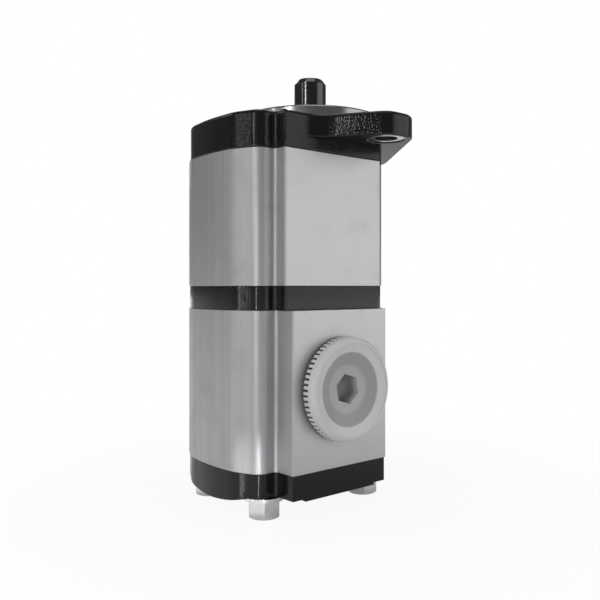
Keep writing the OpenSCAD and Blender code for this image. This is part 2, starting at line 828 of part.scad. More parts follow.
// Four chamfered hexagon nuts
module stud_nuts() {
    corner_r = nut_af / 2 / cos(30);
    nut_turn = 22;
    bevel = 0.3;
    bevel_h = 1.3;
    color(zinc) at_studs() translate([0, 0, stack_bottom]) difference() {
        intersection() {
            rotate(nut_turn) cylinder(r = corner_r, h = nut_h, $fn = 6);
            rotate_extrude() polygon([
                [0, 0], [nut_af / 2 - bevel, 0], [corner_r + bevel, bevel_h],
                [corner_r + bevel, nut_h], [0, nut_h]
            ]);
        }
        rod(stud_r + seat_gap, -cut, nut_h + 2 * cut);
    }
}

// Four flat washers
module stud_washers() {
    color(zinc) at_studs() difference() {
        rod(washer_d / 2, nut_top, washer_t);
        rod(stud_hole_r, nut_top - cut, washer_t + 2 * cut);
    }
}

// Dowel pins that line up the case pieces
module dowel_pins() {
    slack = 0.3;
    color(steel) at_dowels() {
        rod(dowel_d / 2, body_top - dowel_grip + slack, 2 * (dowel_grip - slack));
        rod(dowel_d / 2, rear_top - dowel_grip + slack, plate_t + 2 * (dowel_grip - slack));
        rod(dowel_d / 2, cover_top - dowel_grip + slack, 2 * (dowel_grip - slack));
    }
}

// Outline of the plug head with its grip ribs
module ribbed_disc(r) {
    step = 360 / plug_ribs;
    half_top = 0.24;
    half_foot = 0.38;
    polygon([
        for (i = [0 : plug_ribs - 1])
            each [
                polar(r - rib_depth, (i - half_foot) * step), polar(r, (i - half_top) * step),
                polar(r, (i + half_top) * step), polar(r - rib_depth, (i + half_foot) * step)
            ]
    ]);
}

// Plastic screw plug that closes the inlet port
module inlet_plug() {
    head_r = plug_head_d / 2;
    socket_turn = 12;
    rim_inset = 0.4;
    rim_r = head_r - rim_inset;
    shank_wall = 4;
    socket_floor = 5;
    hollow_depth = plug_shank_len - socket_floor;
    color(plug_white) translate([case_x, plug_face_y, rear_gear_mid]) rotate([90, 0, 0]) difference() {
        union() {
            linear_extrude(rib_h) ribbed_disc(head_r);
            rod(rim_r, rib_h, plug_head_t - plug_edge_r - rib_h);
            translate([0, 0, plug_head_t - plug_edge_r])
                cylinder(r1 = rim_r, r2 = rim_r - plug_edge_r, h = plug_edge_r);
            rod(plug_shank_r, -plug_shank_len - plug_seal_t, plug_shank_len + plug_seal_t + cut);
        }
        translate([0, 0, plug_head_t - dish_depth])
            cylinder(d1 = dish_floor_d, d2 = dish_d, h = dish_depth + seat_gap);
        translate([0, 0, plug_head_t - dish_depth - socket_depth]) rotate(socket_turn + 30)
            cylinder(r = socket_af / 2 / cos(30), h = socket_depth + cut, $fn = 6);
        // Hollow behind the socket that keeps the moulding's wall even
        rod(plug_shank_r - shank_wall, -plug_shank_len - plug_seal_t - cut, hollow_depth + cut);
    }
}

// Flat sealing ring under the plug head
module inlet_plug_seal() {
    seat_y = plug_face_y + plug_seal_t;
    color(rubber) translate([case_x, seat_y, rear_gear_mid]) rotate([90, 0, 0]) difference() {
        cylinder(r = plug_seal_r, h = plug_seal_t);
        rod(plug_shank_r + plug_thread_gap, -cut, plug_seal_t + 2 * cut);
    }
}

front_flange();
front_body();
centre_plate();
rear_body();
rear_cover();
drive_shaft();
front_driven_gear();
rear_drive_gear();
rear_driven_gear();
shaft_coupling();
front_upper_block();
front_lower_block();
rear_upper_block();
rear_lower_block();
front_upper_bushes();
front_lower_bushes();
rear_upper_bushes();
rear_lower_bushes();
front_upper_block_seal();
front_lower_block_seal();
rear_upper_block_seal();
rear_lower_block_seal();
front_upper_backup();
front_lower_backup();
rear_upper_backup();
rear_lower_backup();
flange_gasket();
plate_upper_gasket();
plate_lower_gasket();
cover_gasket();
shaft_lip_seal();
lip_seal_spring();
seal_retaining_ring();
clamp_studs();
stud_nuts();
stud_washers();
dowel_pins();
inlet_plug();
inlet_plug_seal();
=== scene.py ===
"""Tandem gear pump: modelled housings, fasteners, shaft and screw plug, with their finishes."""

import math

import bmesh
import bpy
from mathutils import Matrix, Vector


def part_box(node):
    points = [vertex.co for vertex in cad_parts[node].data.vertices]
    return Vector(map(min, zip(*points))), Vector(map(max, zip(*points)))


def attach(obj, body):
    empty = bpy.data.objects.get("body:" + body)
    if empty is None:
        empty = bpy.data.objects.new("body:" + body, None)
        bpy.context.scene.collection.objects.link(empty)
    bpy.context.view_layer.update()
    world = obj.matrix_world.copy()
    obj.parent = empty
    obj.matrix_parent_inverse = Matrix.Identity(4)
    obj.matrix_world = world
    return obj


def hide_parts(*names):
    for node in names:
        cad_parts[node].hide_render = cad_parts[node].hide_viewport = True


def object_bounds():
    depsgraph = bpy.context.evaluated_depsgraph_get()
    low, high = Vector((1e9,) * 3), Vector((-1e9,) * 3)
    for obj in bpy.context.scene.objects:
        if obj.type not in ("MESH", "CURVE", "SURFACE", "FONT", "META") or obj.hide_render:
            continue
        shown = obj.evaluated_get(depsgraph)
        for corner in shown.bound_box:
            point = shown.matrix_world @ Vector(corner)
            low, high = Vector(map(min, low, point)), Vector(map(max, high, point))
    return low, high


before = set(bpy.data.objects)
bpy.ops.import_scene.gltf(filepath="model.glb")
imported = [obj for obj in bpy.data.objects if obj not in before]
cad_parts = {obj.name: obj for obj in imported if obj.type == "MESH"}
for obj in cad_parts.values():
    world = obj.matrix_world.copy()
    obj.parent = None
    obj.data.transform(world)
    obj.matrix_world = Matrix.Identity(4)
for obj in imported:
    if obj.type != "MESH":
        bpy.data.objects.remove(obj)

bl_info = {
    "name": "Tandem Gear Pump",
    "version": (1, 0, 0),
    "blender": (4, 5, 0),
    "location": "View3D > Sidebar > Pump",
    "description": "Builds the pieces and finishes of a tandem gear pump round its packed frame",
    "category": "Add Mesh",
}

CAD_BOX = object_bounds()
MM = 0.001

# Places read from the frame
CASE_LOW, CASE_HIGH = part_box("front_body")
CASE_X = (CASE_LOW[0] + CASE_HIGH[0]) / 2
BODY_TOP = CASE_HIGH[2]
STUD_LOW, STUD_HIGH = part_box("clamp_studs")
PLUG_LOW, PLUG_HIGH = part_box("inlet_plug")
PLUG_X = (PLUG_LOW[0] + PLUG_HIGH[0]) / 2
PLUG_Z = (PLUG_LOW[2] + PLUG_HIGH[2]) / 2
PLUG_SEAT_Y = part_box("inlet_plug_seal")[0][1]
FLOOR_Z = CAD_BOX[0][2]

# Flange, in metres
PILOT_R = 50.8 * MM
SEAL_BORE_R = 21.5 * MM
EAR_UNDERSIDE_Z = -14.5 * MM
BOLT_Y = 73 * MM
BOLT_HOLE_R = 7.4 * MM
SPOT_FACE_R = 12.1 * MM

# Holes of the case, and how far round its axis each one reaches
GEAR_OFFSET = 21 * MM
CHAMBER_REACH = 29 * MM
DOWEL_X = 54.5 * MM
DOWEL_REACH = 4 * MM
STUD_R = 6 * MM
STUD_X = (STUD_HIGH[0] - STUD_LOW[0]) / 2 - STUD_R
STUD_Y = (STUD_HIGH[1] - STUD_LOW[1]) / 2 - STUD_R
STUD_REACH = STUD_R + 1.5 * MM
WASHER_REACH = 2.2 * STUD_R
NUT_TURN = math.radians(-26)
PORT_REACH = 20 * MM

# Outlet thread
OUTLET_MINOR_R = 12.06 * MM
OUTLET_MAJOR_R = 13.2 * MM
OUTLET_PITCH = 1.814 * MM
OUTLET_THREAD = 14 * MM
OUTLET_CHAMFER = 0.5 * MM

# Screw plug: ribbed rim, front ring that slopes into a dish, socket and threaded shank
RIM_R = (PLUG_HIGH[0] - PLUG_LOW[0]) / 2
RIM_W = 5 * MM
RIB_TOP_Y = PLUG_SEAT_Y - 3.5 * MM
DISH_LAND_R = RIM_R - 2.8 * MM
RING_DROP = 2.5 * MM
DISH_R = 23 * MM
DISH_DEPTH = 3 * MM
DISH_FLOOR_R = 15 * MM
SOCKET_R = 9.6 * MM
SOCKET_MOUTH_Y = PLUG_LOW[1] + RING_DROP + DISH_DEPTH
SHANK_R = 19.375 * MM
SHANK_PITCH = 2.309 * MM
SHANK_THREAD = 11 * MM
SHANK_THREAD_H = 1.1 * MM
SHANK_LEAD = 1.5 * MM

# Axis that the face cutter's arcs run round on the port faces
CUTTER_AXIS = (-90 * MM, 0, -60 * MM)

# Stage, in metres: floor, where painted light starts on its mirrored side, and lamps that draw lines on the
# rear cover
FLOOR_R = 9
PAINTED_LIGHT_X = CASE_LOW[0] + 12 * MM
PAINTED_LIGHT_FADE = 20 * MM
GLINT_Z = FLOOR_Z + 22 * MM
GLINT_H = 40 * MM
GLINT_SPREAD = math.radians(50)

# Limits for cleaning up, rounding and picking out parts of meshes
MERGE = 2e-6
NEAR = 0.1 * MM
FLAT_ANGLE = math.radians(0.4)
SHARP_ANGLE = math.radians(24)
SMOOTH_ANGLE = math.radians(32)
LEVEL = 0.9
SQUARE = 0.99


class PumpSizes(bpy.types.PropertyGroup):
    """Edge radii of the visible pieces."""

    cast_edge: bpy.props.FloatProperty(
        name="Cast edge", description="Rounding of the flange casting below its crest",
        default=0.9 * MM, min=0.1 * MM, max=2 * MM, unit="LENGTH")
    crest_edge: bpy.props.FloatProperty(
        name="Crest edge", description="Rounding of the flange casting round its mounting face",
        default=2.5 * MM, min=0.5 * MM, max=4 * MM, unit="LENGTH")
    plate_edge: bpy.props.FloatProperty(
        name="Plate edge", description="Rounding of the painted plate and cover",
        default=0.45 * MM, min=0.1 * MM, max=1 * MM, unit="LENGTH")
    sawn_edge: bpy.props.FloatProperty(
        name="Sawn edge", description="Broken edge at the cut ends of the aluminium bodies",
        default=0.45 * MM, min=0.05 * MM, max=0.6 * MM, unit="LENGTH")
    small_edge: bpy.props.FloatProperty(
        name="Small edge", description="Rounding of the pilot, nuts, washers, rings and shaft end",
        default=0.2 * MM, min=0.05 * MM, max=0.4 * MM, unit="LENGTH")
    plug_rim: bpy.props.FloatProperty(
        name="Plug rim", description="Rounding of the front rim of the plug head",
        default=1.2 * MM, min=0.2 * MM, max=2 * MM, unit="LENGTH")
    plug_edge: bpy.props.FloatProperty(
        name="Plug edge", description="Rounding of the rest of the moulded plug",
        default=0.3 * MM, min=0.05 * MM, max=0.5 * MM, unit="LENGTH")


class PumpColours(bpy.types.PropertyGroup):
    """Base colours of the finishes."""

    paint: bpy.props.FloatVectorProperty(
        name="Paint", description="Black enamel on the flange, plate and cover",
        default=(0.008, 0.008, 0.009), size=3, subtype="COLOR", min=0, max=1)
    aluminium: bpy.props.FloatVectorProperty(
        name="Aluminium", description="Extruded walls of both bodies",
        default=(0.40, 0.403, 0.412), size=3, subtype="COLOR", min=0, max=1)
    steel: bpy.props.FloatVectorProperty(
        name="Steel", description="Ground shafts and gears",
        default=(0.07, 0.07, 0.073), size=3, subtype="COLOR", min=0, max=1)
    zinc: bpy.props.FloatVectorProperty(
        name="Zinc", description="Plated nuts, washers and studs",
        default=(0.72, 0.72, 0.725), size=3, subtype="COLOR", min=0, max=1)
    plug: bpy.props.FloatVectorProperty(
        name="Plug", description="Moulded plastic of the screw plug",
        default=(0.72, 0.72, 0.71), size=3, subtype="COLOR", min=0, max=1)


class PumpStage(bpy.types.PropertyGroup):
    """Camera, floor and world."""

    camera_place: bpy.props.FloatVectorProperty(
        name="Camera place", description="Where the camera stands",
        default=(-0.3120, -0.3743, -0.1045), size=3, subtype="TRANSLATION")
    camera_turn: bpy.props.FloatProperty(
        name="Camera turn", description="Direction of the level view, from +Y",
        default=math.radians(-39), subtype="ANGLE")
    lens: bpy.props.FloatProperty(
        name="Lens", description="Focal length in millimetres", default=42.0, min=20, max=100)
    horizon_shift: bpy.props.FloatProperty(
        name="Horizon shift", description="How far the horizon lies from the middle of the frame",
        default=-14 / 600, min=-0.1, max=0.1)
    floor_colour: bpy.props.FloatVectorProperty(
        name="Floor", description="Pale floor",
        default=(0.82, 0.82, 0.82), size=3, subtype="COLOR", min=0, max=1)
    world_level: bpy.props.FloatProperty(
        name="World level", description="How strongly the white world lights the object",
        default=0.2, min=0, max=1)


class Sum:
    """A socket that takes part in sums, where each sum adds a Math node."""

    def __init__(self, finish, socket):
        self.finish = finish
        self.socket = socket

    def maths(self, operation, *values):
        inputs = dict(enumerate((self,) + values))
        return self.finish.node("ShaderNodeMath", {"operation": operation}, inputs)

    def __add__(self, other):
        return self.maths("ADD", other)

    def __sub__(self, other):
        return self.maths("SUBTRACT", other)

    def __mul__(self, other):
        return self.maths("MULTIPLY", other)

    def __truediv__(self, other):
        return self.maths("DIVIDE", other)

    def __pow__(self, other):
        return self.maths("POWER", other)

    def __rsub__(self, other):
        return self.finish.node("ShaderNodeMath", {"operation": "SUBTRACT"}, {0: other, 1: self})

    def __rtruediv__(self, other):
        return self.finish.node("ShaderNodeMath", {"operation": "DIVIDE"}, {0: other, 1: self})

    __radd__ = __add__
    __rmul__ = __mul__

    def greatest(self, other):
        return self.maths("MAXIMUM", other)

    def between(self, low, high, to_low=0.0, to_high=1.0):
        """Smooth step from to_low at low to to_high at high."""
        return self.finish.node("ShaderNodeMapRange", {"interpolation_type": "SMOOTHSTEP"}, {
            "Value": self, "From Min": low, "From Max": high, "To Min": to_low, "To Max": to_high})


class Finish:
    """One material, whose nodes all come from the node method."""

    def __init__(self, name, **constants):
        self.material = bpy.data.materials.new(name)
        self.material.use_nodes = True
        self.tree = self.material.node_tree
        self.shader = self.tree.nodes["Principled BSDF"]
        self.place = self.node("ShaderNodeTexCoord", output="Object")
        for words, value in constants.items():
            socket = words.replace("_", " ").title().replace("Ior", "IOR")
            self.shader.inputs[socket].default_value = value

    def node(self, kind, settings=None, inputs=None, output=0):
        """Adds a node of a kind, sets it up, fills its sockets and returns one output."""
        node = self.tree.nodes.new(kind)
        for key, value in (settings or {}).items():
            setattr(node, key, value)
        for key, value in (inputs or {}).items():
            if isinstance(value, Sum):
                self.tree.links.new(value.socket, node.inputs[key])
            else:
                node.inputs[key].default_value = value
        return Sum(self, node.outputs[output])

    def feed(self, socket, value):
        self.tree.links.new(value.socket, self.shader.inputs[socket])

    def axis(self, letter):
        return self.node("ShaderNodeSeparateXYZ", inputs={0: self.place}, output=letter)

    def vector(self, x, y, z):
        return self.node("ShaderNodeCombineXYZ", inputs={0: x, 1: y, 2: z})

    def noise(self, scale, detail, rough=0.5, at=None):
        return self.node("ShaderNodeTexNoise", inputs={
            "Vector": at or self.place, "Scale": scale, "Detail": detail, "Roughness": rough})

    def streaks(self, x, y, z):
        """Noise with its own scale along each axis."""
        stretched = self.node("ShaderNodeMapping", inputs={"Vector": self.place, "Scale": (x, y, z)})
        return self.noise(1.0, 2.0, at=stretched)

    def radius(self, centre, along):
        """Distance from a line through centre that runs along an axis."""
        others = [letter for letter in "XYZ" if letter != along]
        offsets = [self.axis(letter) - centre["XYZ".index(letter)] for letter in others]
        return (offsets[0] * offsets[0] + offsets[1] * offsets[1]) ** 0.5

    def turning(self, centre, pitch):
        """Lathe marks round an upright axis: fine rings on faces and walls alike."""
        rings = self.vector(self.radius(centre, "Z") / pitch, self.axis("Z") / pitch, 0.0)
        return self.noise(1.0, 1.0, at=rings)

    def blend(self, factor, low, high):
        """Mix of two colours by a factor."""
        return self.node("ShaderNodeMix", {"data_type": "RGBA"}, {
            0: factor, 6: low if isinstance(low, Sum) else (*low, 1.0),
            7: high if isinstance(high, Sum) else (*high, 1.0)}, output=2)

    def relief(self, height, depth, below=None):
        """Bump of a depth in metres."""
        inputs = {"Strength": 1.0, "Distance": depth, "Height": height}
        if below:
            inputs["Normal"] = below
        return self.node("ShaderNodeBump", inputs=inputs)


def shade(colour, factor):
    """A colour made lighter or darker."""
    return tuple(min(1.0, part * factor) for part in colour)


def enamel(name, colour, cast_depth, gloss=0.25):
    """Glossy black paint: orange peel over the casting's own texture, with lighter, rougher patches of dust.
    """
    finish = Finish(name, Specular_IOR_Level=gloss)
    peel = finish.noise(700, 1.0)
    cast = finish.noise(880, 1.5, 0.6)
    dust = finish.noise(45, 4.0, 0.65).between(0.52, 0.75)
    finish.feed("Base Color", finish.blend(dust, colour, shade(colour, 1.8)))
    finish.feed("Roughness", dust * 0.14 + 0.1)
    finish.feed("Normal", finish.relief(peel, 0.03 * MM, finish.relief(cast, cast_depth)))
    return finish.material


def extrusion(name, colour):
    """Extruded aluminium: fine die lines along Z, with faint bands and handling marks."""
    finish = Finish(name, Metallic=0.75)
    lines = finish.streaks(2600, 2600, 9)
    bands = finish.streaks(240, 240, 2)
    stain = finish.noise(38, 4.0, 0.6).between(0.45, 0.75)
    tone = finish.blend(bands.between(0.3, 0.7), shade(colour, 0.93), shade(colour, 1.06))
    finish.feed("Base Color", finish.blend(stain, tone, shade(colour, 0.9)))
    finish.feed("Roughness", lines * 0.12 + stain * 0.07 + 0.38)
    finish.feed("Normal", finish.relief(lines, 0.012 * MM, finish.relief(bands, 0.06 * MM)))
    return finish.material


def milled(name, colour):
    """Milled aluminium: wide arcs of a face cutter, brighter than the extruded walls."""
    finish = Finish(name, Metallic=0.7)
    arcs = finish.radius(CUTTER_AXIS, "Y")
    marks = finish.noise(1.0, 1.0, at=finish.vector(arcs / (0.45 * MM), 0.0, 0.0))
    stain = finish.noise(55, 4.0, 0.6).between(0.5, 0.8)
    finish.feed("Base Color", finish.blend(stain, shade(colour, 1.18), shade(colour, 1.08)))
    finish.feed("Roughness", marks * 0.1 + stain * 0.06 + 0.36)
    finish.feed("Normal", finish.relief(marks, 0.006 * MM))
    return finish.material


def turned(name, colour, rough, centre=(0, 0, 0), pitch=0.35 * MM, depth=0.008 * MM):
    """Turned bare metal: fine rings of a depth round an upright axis."""
    finish = Finish(name, Metallic=1.0)
    rings = finish.turning(centre, pitch)
    stain = finish.noise(90, 3.0, 0.6).between(0.5, 0.8)
    finish.feed("Base Color", finish.blend(stain, colour, shade(colour, 0.8)))
    finish.feed("Roughness", rings * 0.1 + stain * 0.06 + rough)
    finish.feed("Normal", finish.relief(rings, depth))
    return finish.material


def plated(name, colour):
    """Bright zinc plate over forged steel, with faint clouds."""
    finish = Finish(name, Metallic=1.0)
    forged = finish.noise(420, 3.0, 0.6)
    clouds = finish.noise(130, 4.0, 0.65).between(0.4, 0.75)
    dull = (colour[0] * 0.86, colour[1] * 0.87, colour[2] * 0.9)
    finish.feed("Base Color", finish.blend(clouds, colour, dull))
    finish.feed("Roughness", clouds * 0.12 + 0.15)
    finish.feed("Normal", finish.relief(forged, 0.02 * MM))
    return finish.material


def moulding(name, colour, shadow=None):
    """Moulded plastic: soft sheen, faint flow clouds and a fine die texture, darkened where shadow says."""
    finish = Finish(name, Subsurface_Weight=0.08, Subsurface_Scale=1.5 * MM, Specular_IOR_Level=0.45)
    flow = finish.noise(60, 4.0, 0.6).between(0.35, 0.8)
    grain = finish.noise(1900, 1.0)
    scuffs = finish.streaks(900, 40, 420).between(0.62, 0.8)
    tone = finish.blend(flow, colour, (colour[0] * 0.97, colour[1] * 0.965, colour[2] * 0.95))
    if shadow:
        tone = finish.blend(shadow(finish), tone, shade(colour, 0.04))
    finish.feed("Base Color", tone)
    finish.feed("Roughness", grain * 0.08 + scuffs * 0.12 + 0.36)
    finish.feed("Normal", finish.relief(grain, 0.008 * MM))
    return finish.material


def plug_shadow(finish):
    """Painted shade in the plug's dish, on its sloped ring, down its socket and between its ribs."""
    radius = finish.radius((PLUG_X, 0, PLUG_Z), "Y")
    dish_edge = (DISH_R - 1 * MM, DISH_R + 0.4 * MM)
    dish = radius.between(*dish_edge, 0.34, 0.0)
    slope = radius.between(DISH_FLOOR_R - 1.5 * MM, DISH_FLOOR_R + 1.5 * MM, 0.0, 0.16)
    slope = slope * radius.between(*dish_edge, 1.0, 0.0)
    grooves = radius.between(RIM_R - 0.9 * MM, RIM_R - 0.1 * MM, 1.0, 0.0)
    rim = radius.between(RIM_R - 1.3 * MM, RIM_R - 1.2 * MM)
    ribs = finish.axis("Y").between(RIB_TOP_Y, RIB_TOP_Y + 0.2 * MM)
    socket = radius.between(SOCKET_R, SOCKET_R + 0.3 * MM, 1.0, 0.0)
    socket = socket * finish.axis("Y").between(SOCKET_MOUTH_Y + 0.5 * MM, SOCKET_MOUTH_Y + 6 * MM, 0.0, 0.2)
    return dish + slope + socket + grooves * rim * ribs


def rubber(name):
    """Black nitrile rubber with a matt, slightly dusty skin."""
    finish = Finish(name, Specular_IOR_Level=0.4)
    dust = finish.noise(160, 4.0, 0.65).between(0.45, 0.8)
    skin = finish.noise(2400, 1.0)
    finish.feed("Base Color", finish.blend(dust, (0.012, 0.012, 0.012), (0.035, 0.034, 0.032)))
    finish.feed("Roughness", dust * 0.2 + 0.5)
    finish.feed("Normal", finish.relief(skin, 0.01 * MM))
    return finish.material


def merged_copy(node):
    """Copy of a CAD node's mesh, with doubles merged and each flat face in as few pieces as it can be."""
    shape = bmesh.new()
    shape.from_mesh(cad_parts[node].data)
    bmesh.ops.remove_doubles(shape, verts=shape.verts, dist=MERGE)
    bmesh.ops.dissolve_limit(shape, angle_limit=FLAT_ANGLE, verts=shape.verts, edges=shape.edges)
    return shape


def middle(edge):
    return (edge.verts[0].co + edge.verts[1].co) / 2


def everywhere(point):
    """Choice of edges that takes them all."""
    return True


def round_edges(shape, radius, wanted, segments=3):
    """Rounds the outer corners that wanted() picks by their middle."""
    edges = [
        edge for edge in shape.edges
        if edge.is_manifold and edge.calc_face_angle_signed() > SHARP_ANGLE and wanted(middle(edge))
    ]
    bmesh.ops.bevel(
        shape, geom=edges, offset=radius, offset_type="OFFSET", segments=segments, profile=0.5,
        affect="EDGES", clamp_overlap=False, material=-1)


def paint_faces(shape, index, wanted):
    """Gives the faces that wanted() picks another material."""
    for face in shape.faces:
        if wanted(face.calc_center_median(), face.normal):
            face.material_index = index


def add_piece(shape, name, body, materials, node):
    """Makes an object of a finished shape, on its body and in place of its CAD node."""
    mesh = bpy.data.meshes.new(name)
    shape.to_mesh(mesh)
    shape.free()
    for material in materials:
        mesh.materials.append(material)
    mesh.shade_smooth()
    mesh.set_sharp_from_angle(angle=SMOOTH_ANGLE)
    piece = bpy.data.objects.new(name, mesh)
    bpy.context.scene.collection.objects.link(piece)
    modifier = piece.modifiers.new("Even shading", "WEIGHTED_NORMAL")
    modifier.keep_sharp = True
    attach(piece, body)
    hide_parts(node)


def cut_away(shape, tool):
    """Shape less tool, both used up, as a new shape."""
    objects = []
    for label, part in (("stock", shape), ("tool", tool)):
        mesh = bpy.data.meshes.new(label)
        part.to_mesh(mesh)
        part.free()
        thing = bpy.data.objects.new(label, mesh)
        bpy.context.scene.collection.objects.link(thing)
        objects.append(thing)
    stock, cutter = objects
    modifier = stock.modifiers.new("cut", "BOOLEAN")
    modifier.operation = "DIFFERENCE"
    modifier.solver = "EXACT"
    modifier.object = cutter
    bpy.context.view_layer.update()
    result = stock.evaluated_get(bpy.context.evaluated_depsgraph_get())
    cut = bmesh.new()
    cut.from_mesh(result.to_mesh())
    result.to_mesh_clear()
    for thing in objects:
        mesh = thing.data
        bpy.data.objects.remove(thing)
        bpy.data.meshes.remove(mesh)
    return cut


def aim(tool, start, direction):
    """Turns a tool made along +Z to a direction and moves it to its start."""
    turn = Vector((0, 0, 1)).rotation_difference(Vector(direction)).to_matrix().to_4x4()
    bmesh.ops.transform(tool, matrix=Matrix.Translation(start) @ turn, verts=tool.verts)


def thread_tool(start, direction, radius, tip, pitch, length):
    """Helical cutter: a tooth from radius to tip swept along direction from start."""
    half_root = 0.44 * pitch
    half_tip = 0.1 * pitch
    root = radius + (radius - tip) * 0.12
    steps = 40
    turns = length / pitch
    tool = bmesh.new()
    tooth = [
        tool.verts.new((root, 0, -half_root)),
        tool.verts.new((tip, 0, -half_tip)),
        tool.verts.new((tip, 0, half_tip)),
        tool.verts.new((root, 0, half_root)),
    ]
    face = tool.faces.new(tooth)
    bmesh.ops.spin(
        tool, geom=[face] + list(face.edges) + tooth, cent=(0, 0, 0), axis=(0, 0, 1),
        dvec=(0, 0, pitch / steps), angle=2 * math.pi * turns, steps=round(steps * turns),
        use_duplicate=False)
    bmesh.ops.recalc_face_normals(tool, faces=tool.faces)
    aim(tool, start, direction)
    return tool


def countersink(start, direction, radius, depth):
    """Cone that opens the mouth of a bore, half outside it and half inside."""
    tool = bmesh.new()
    bmesh.ops.create_cone(
        tool, cap_ends=True, segments=72, radius1=radius + depth, radius2=radius - depth, depth=2 * depth)
    aim(tool, start, direction)
    return tool


def dish_tool():
    """Cutter that sinks the plug's dish and slopes its front ring in towards it."""
    front = PLUG_LOW[1]
    tool = bmesh.new()
    profile = [
        (0, front - MM), (DISH_LAND_R, front - MM), (DISH_LAND_R, front), (DISH_R, front + RING_DROP),
        (DISH_FLOOR_R, SOCKET_MOUTH_Y), (0, SOCKET_MOUTH_Y),
    ]
    points = [tool.verts.new((PLUG_X + radius, y, PLUG_Z)) for radius, y in profile]
    edges = [tool.edges.new(pair) for pair in zip(points, points[1:])]
    bmesh.ops.spin(
        tool, geom=points + edges, cent=(PLUG_X, 0, PLUG_Z), axis=(0, 1, 0), dvec=(0, 0, 0),
        angle=2 * math.pi, steps=96, use_merge=True)
    bmesh.ops.remove_doubles(tool, verts=tool.verts, dist=MERGE)
    bmesh.ops.recalc_face_normals(tool, faces=tool.faces)
    return tool


def near_axis(point, x, y, radius):
    """True within a radius of an upright axis."""
    return math.hypot(point[0] - x, point[1] - y) < radius


def inside_case(point):
    """True in the chambers, grooves and holes that the stack closes."""
    along = max(abs(point[0] - CASE_X) - GEAR_OFFSET, 0)
    if math.hypot(along, point[1]) < CHAMBER_REACH:
        return True
    for side_x in (-1, 1):
        if near_axis(point, CASE_X + side_x * DOWEL_X, 0, DOWEL_REACH):
            return True
        for side_y in (-1, 1):
            if near_axis(point, CASE_X + side_x * STUD_X, side_y * STUD_Y, STUD_REACH):
                return True
    return False


def tap_outlet(shape, z):
    """Countersinks and threads the outlet port at height z."""
    mouth = Vector((CASE_X, CASE_HIGH[1], z))
    inwards = (0, -1, 0)
    shape = cut_away(shape, countersink(mouth, inwards, OUTLET_MAJOR_R, OUTLET_CHAMFER))
    tool = thread_tool(mouth, inwards, OUTLET_MINOR_R, OUTLET_MAJOR_R, OUTLET_PITCH, OUTLET_THREAD)
    return cut_away(shape, tool)


class PUMP_OT_flange(bpy.types.Operator):
    """Front flange casting with its bare machined pilot, bores and bolt seats"""

    bl_idname = "pump.flange"
    bl_label = "Flange"

    def execute(self, context):
        sizes = context.scene.pump_sizes
        colours = context.scene.pump_colours
        shape = merged_copy("front_flange")

        def by_bolt(point, radius):
            return near_axis(point, 0, math.copysign(BOLT_Y, point.y), radius)

        def on_seat(point):
            return by_bolt(point, SPOT_FACE_R + 0.2 * MM)

        def by_pilot(point):
            return near_axis(point, 0, 0, PILOT_R + MM)

        def cast(point):
            return point.z < MM and not (inside_case(point) or by_pilot(point) or on_seat(point))

        def machined(point, normal):
            return (
                point.z > 0.2 * MM and near_axis(point, 0, 0, PILOT_R + 0.5 * MM)
                or near_axis(point, 0, 0, SEAL_BORE_R)
                or on_seat(point) and abs(normal.z) > LEVEL and point.z < -MM
                or by_bolt(point, BOLT_HOLE_R)
                or point.z < BODY_TOP + NEAR and inside_case(point))

        def underside(point, normal):
            under_ear = abs(point.z - EAR_UNDERSIDE_Z) < NEAR
            under_rim = point.z < BODY_TOP + NEAR and not inside_case(point)
            return normal.z < -LEVEL and not on_seat(point) and (under_ear or under_rim)

        round_edges(shape, sizes.crest_edge, lambda point: cast(point) and point.z > -MM, 4)
        round_edges(shape, sizes.cast_edge, lambda point: cast(point) and point.z < -3 * MM)
        round_edges(
            shape, sizes.small_edge, lambda point: point.z > MM and by_pilot(point) or on_seat(point), 2)
        paint_faces(shape, 1, machined)
        paint_faces(shape, 2, underside)
        materials = [
            enamel("black_enamel_casting", colours.paint[:], 0.14 * MM),
            turned("turned_pilot", (0.3, 0.3, 0.31), 0.16),
            enamel("thin_enamel_underside", colours.paint[:], 0.14 * MM, 0.02),
        ]
        add_piece(shape, "flange_casting", "housing", materials, "front_flange")
        return {"FINISHED"}


class PUMP_OT_cases(bpy.types.Operator):
    """Both aluminium gear bodies, the black centre plate and the rear cover"""

    bl_idname = "pump.cases"
    bl_label = "Cases"

    def execute(self, context):
        sizes = context.scene.pump_sizes
        colours = context.scene.pump_colours
        walls = extrusion("extruded_aluminium", colours.aluminium[:])
        faces = milled("milled_aluminium", colours.aluminium[:])
        for node, name in (("front_body", "front_gear_case"), ("rear_body", "rear_gear_case")):
            low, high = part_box(node)
            port_z = (low[2] + high[2]) / 2
            shape = merged_copy(node)
            round_edges(shape, sizes.sawn_edge, lambda point: not inside_case(point) and (
                point.z < low[2] + NEAR or point.z > high[2] - NEAR), 2)
            shape = tap_outlet(shape, port_z)
            paint_faces(shape, 1, lambda point, normal: (
                point.y < low[1] + NEAR or point.y > high[1] - NEAR or abs(normal.z) > SQUARE
                or inside_case(point) or math.hypot(point.x - CASE_X, point.z - port_z) < PORT_REACH))
            add_piece(shape, name, "housing", [walls, faces], node)
        paint = enamel("black_enamel_plate", colours.paint[:], 0.03 * MM)
        for node, name in (("centre_plate", "gear_case_plate"), ("rear_cover", "rear_end_cover")):
            shape = merged_copy(node)
            round_edges(shape, sizes.plate_edge, lambda point: not inside_case(point))
            paint_faces(shape, 1, lambda point, normal: inside_case(point))
            add_piece(shape, name, "housing", [paint, faces], node)
        return {"FINISHED"}


